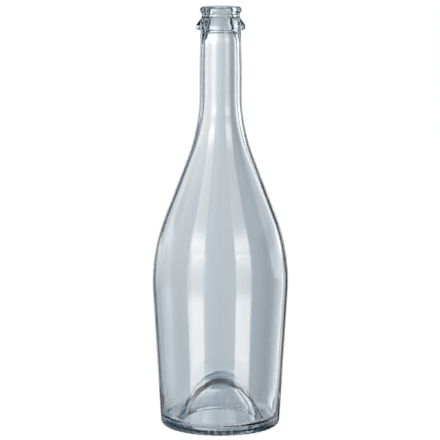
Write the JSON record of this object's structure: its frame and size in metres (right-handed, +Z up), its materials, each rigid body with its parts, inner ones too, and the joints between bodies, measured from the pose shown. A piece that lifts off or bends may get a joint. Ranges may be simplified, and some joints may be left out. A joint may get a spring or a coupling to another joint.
{
  "type": "sparkling wine bottle",
  "caption": "Empty clear glass sparkling wine bottle with a crown bead, a wire ring, a long neck, a sloping shoulder, a tapering body and a deep punt in its base.",
  "frame": {"origin": "on the bottle's axis, in the plane that it stands on", "axes": "+Z up along the bottle's axis, from the bearing ring to the mouth; X and Y are any two directions square to it"},
  "size_m": [0.0938, 0.0938, 0.29],
  "materials": {
    "clear_glass": "fire-polished, glossy, clear with a faint grey-blue cast"
  },
  "bodies": {
    "root": {"glass_bottle": "clear_glass"}
  },
  "joints": []
}
